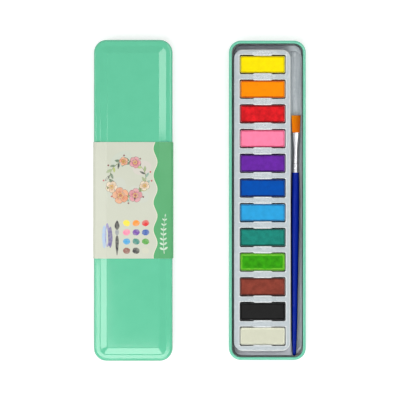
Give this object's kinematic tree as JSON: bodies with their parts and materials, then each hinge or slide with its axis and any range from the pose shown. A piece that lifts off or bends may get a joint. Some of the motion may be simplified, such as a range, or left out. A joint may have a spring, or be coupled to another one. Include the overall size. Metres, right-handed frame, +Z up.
{
  "type": "gouache paint box",
  "caption": "Flat oblong slip-lid tin for gouache, shown open with a tray of lift-out paint pans and a flat brush, its lid beside it in a card sleeve.",
  "frame": {"origin": "centre of the underside of the open base tin", "axes": "+Z up, +Y along the box towards the bristles, +X across it from the lid towards the brush channel"},
  "size_m": [0.1437, 0.217, 0.0157],
  "materials": {
    "tinplate": "satin mint green enamel outside, bare tinplate inside",
    "sleeve_card": "smooth coated card, printed",
    "tray_plastic": "glossy light grey formed sheet",
    "pan_plastic": "translucent white moulded plastic",
    "handle_lacquer": "deep blue gloss lacquer on turned wood",
    "ferrule_metal": "polished nickel plate",
    "bristle_nylon": "fine synthetic filament",
    "paint_yellow": "dried gouache, slightly mottled",
    "paint_orange": "dried gouache, slightly mottled",
    "paint_red": "dried gouache, slightly mottled",
    "paint_pink": "dried gouache, slightly mottled",
    "paint_purple": "dried gouache, slightly mottled",
    "paint_blue": "dried gouache, slightly mottled",
    "paint_light_blue": "dried gouache, slightly mottled",
    "paint_teal": "dried gouache, slightly mottled",
    "paint_green": "dried gouache, slightly mottled",
    "paint_brown": "dried gouache, slightly mottled",
    "paint_black": "dried gouache, slightly mottled",
    "paint_white": "dried gouache, slightly mottled"
  },
  "bodies": {
    "base": {"base_tin": "tinplate", "base_floor": "tinplate"},
    "lid": {"lid_tin": "tinplate"},
    "sleeve": {"sleeve": "sleeve_card"},
    "tray": {"tray": "tray_plastic"},
    "brush": {"brush_handle": "handle_lacquer", "brush_ferrule": "ferrule_metal", "brush_bristles": "bristle_nylon"},
    "pan_set_01": {"pan_01": "pan_plastic", "cake_01": "paint_yellow"},
    "pan_set_02": {"pan_02": "pan_plastic", "cake_02": "paint_orange"},
    "pan_set_03": {"pan_03": "pan_plastic", "cake_03": "paint_red"},
    "pan_set_04": {"pan_04": "pan_plastic", "cake_04": "paint_pink"},
    "pan_set_05": {"pan_05": "pan_plastic", "cake_05": "paint_purple"},
    "pan_set_06": {"pan_06": "pan_plastic", "cake_06": "paint_blue"},
    "pan_set_07": {"pan_07": "pan_plastic", "cake_07": "paint_light_blue"},
    "pan_set_08": {"pan_08": "pan_plastic", "cake_08": "paint_teal"},
    "pan_set_09": {"pan_09": "pan_plastic", "cake_09": "paint_green"},
    "pan_set_10": {"pan_10": "pan_plastic", "cake_10": "paint_brown"},
    "pan_set_11": {"pan_11": "pan_plastic", "cake_11": "paint_black"},
    "pan_set_12": {"pan_12": "pan_plastic", "cake_12": "paint_white"}
  },
  "joints": [
    {"name": "lid_lift", "type": "slide", "parent": "base", "child": "lid", "axis": [0, 0, 1], "range_m": [0, 0.06]},
    {"name": "sleeve_slide", "type": "slide", "parent": "lid", "child": "sleeve", "axis": [0, 1, 0], "range_m": [-0.15, 0.15]},
    {"name": "tray_lift", "type": "slide", "parent": "base", "child": "tray", "axis": [0, 0, 1], "range_m": [0, 0.03]},
    {"name": "brush_lift", "type": "slide", "parent": "tray", "child": "brush", "axis": [0, 0, 1], "range_m": [0, 0.03]},
    {"name": "pan_lift_01", "type": "slide", "parent": "tray", "child": "pan_set_01", "axis": [0, 0, 1], "range_m": [0, 0.016]},
    {"name": "pan_lift_02", "type": "slide", "parent": "tray", "child": "pan_set_02", "axis": [0, 0, 1], "range_m": [0, 0.016]},
    {"name": "pan_lift_03", "type": "slide", "parent": "tray", "child": "pan_set_03", "axis": [0, 0, 1], "range_m": [0, 0.016]},
    {"name": "pan_lift_04", "type": "slide", "parent": "tray", "child": "pan_set_04", "axis": [0, 0, 1], "range_m": [0, 0.016]},
    {"name": "pan_lift_05", "type": "slide", "parent": "tray", "child": "pan_set_05", "axis": [0, 0, 1], "range_m": [0, 0.016]},
    {"name": "pan_lift_06", "type": "slide", "parent": "tray", "child": "pan_set_06", "axis": [0, 0, 1], "range_m": [0, 0.016]},
    {"name": "pan_lift_07", "type": "slide", "parent": "tray", "child": "pan_set_07", "axis": [0, 0, 1], "range_m": [0, 0.016]},
    {"name": "pan_lift_08", "type": "slide", "parent": "tray", "child": "pan_set_08", "axis": [0, 0, 1], "range_m": [0, 0.016]},
    {"name": "pan_lift_09", "type": "slide", "parent": "tray", "child": "pan_set_09", "axis": [0, 0, 1], "range_m": [0, 0.016]},
    {"name": "pan_lift_10", "type": "slide", "parent": "tray", "child": "pan_set_10", "axis": [0, 0, 1], "range_m": [0, 0.016]},
    {"name": "pan_lift_11", "type": "slide", "parent": "tray", "child": "pan_set_11", "axis": [0, 0, 1], "range_m": [0, 0.016]},
    {"name": "pan_lift_12", "type": "slide", "parent": "tray", "child": "pan_set_12", "axis": [0, 0, 1], "range_m": [0, 0.016]}
  ]
}
